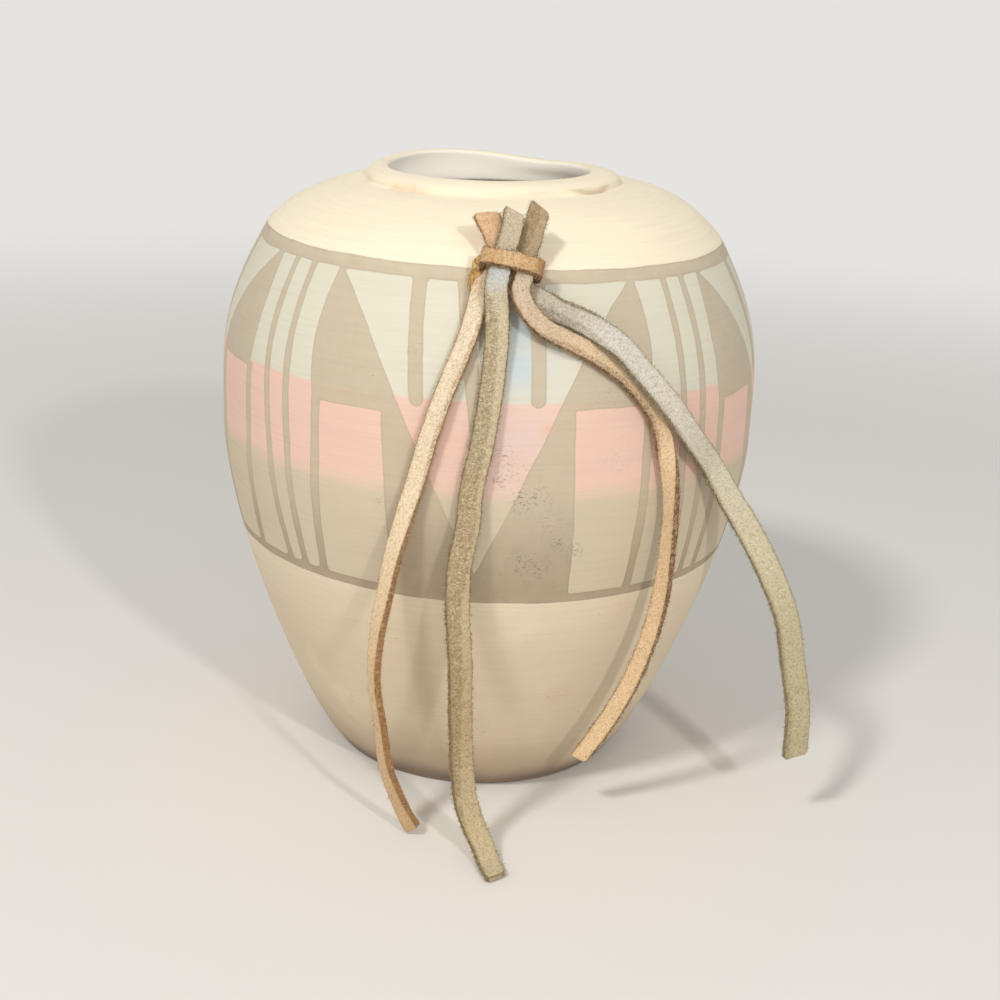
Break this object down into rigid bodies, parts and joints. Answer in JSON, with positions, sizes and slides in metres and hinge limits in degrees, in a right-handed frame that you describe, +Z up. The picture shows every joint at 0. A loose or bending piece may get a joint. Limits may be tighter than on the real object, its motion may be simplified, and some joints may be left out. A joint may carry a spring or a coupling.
{
  "type": "pottery vase",
  "caption": "Round-shouldered pottery vase with a short rolled collar, a soft geometric band painted round its belly, and a leather lace tassel glued on the shoulder.",
  "frame": {"origin": "middle of the flat foot, on the surface that the vase stands on", "axes": "+Z up along the vase's axis, and -Y towards the side with the tassel"},
  "size_m": [0.1404, 0.1434, 0.1424],
  "materials": {
    "ceramic": "matt earthenware with an airbrushed mint and pink band and taupe shapes, white inside",
    "tan_leather": "suede with a speckled nap and rough cut edges",
    "olive_leather": "suede with a speckled nap and rough cut edges",
    "grey_leather": "suede with a speckled nap and rough cut edges",
    "glue": "hard yellowed glue, glossy"
  },
  "bodies": {
    "root": {"vase_body": "ceramic", "glue_dab": "glue", "binding_wrap": "tan_leather", "lace_tan_left": "tan_leather", "lace_olive_centre": "olive_leather", "lace_tan_right": "tan_leather", "lace_grey_right": "grey_leather"}
  },
  "joints": []
}
